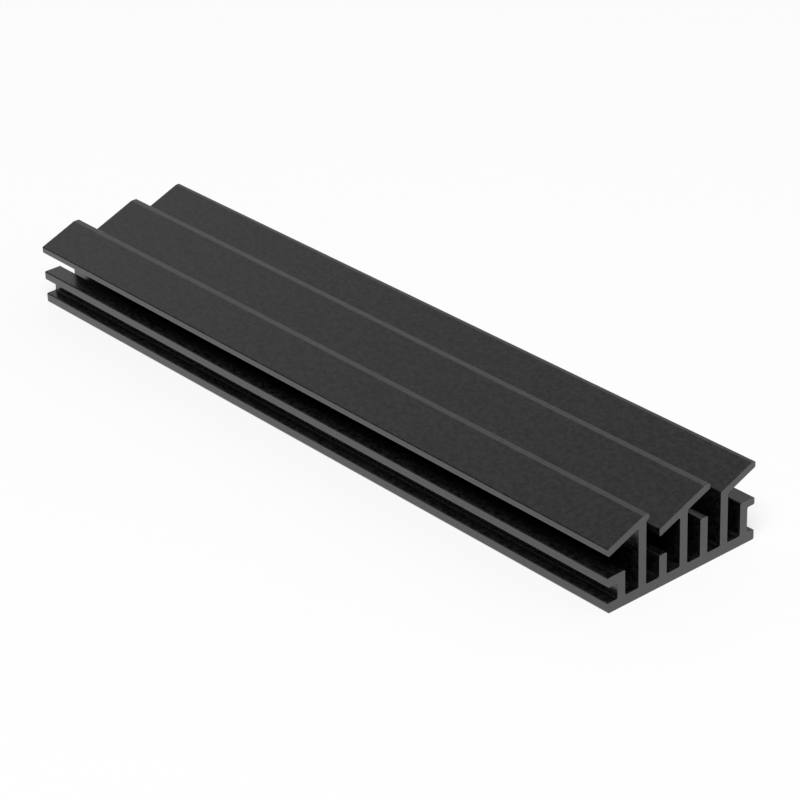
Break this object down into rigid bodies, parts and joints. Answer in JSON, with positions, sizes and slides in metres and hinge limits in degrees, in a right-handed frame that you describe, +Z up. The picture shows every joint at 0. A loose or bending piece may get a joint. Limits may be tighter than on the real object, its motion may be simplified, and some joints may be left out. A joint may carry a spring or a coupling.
{
  "type": "ssd heat sink",
  "caption": "Black anodised aluminium heat sink for a small storage module, an extrusion with a flat base, upright fins, side lips and sloping louvre plates on top.",
  "frame": {"origin": "centre of the flat underside", "axes": "+X along the extrusion, +Y across it from the lowest louvre edge (front) to the highest (rear), +Z up from the underside to the louvres"},
  "size_m": [0.07, 0.0148, 0.0066],
  "materials": {
    "black_anodised": "black anodised, satin, with fine drawing lines along the length"
  },
  "bodies": {
    "root": {"heat_sink": "black_anodised"}
  },
  "joints": []
}
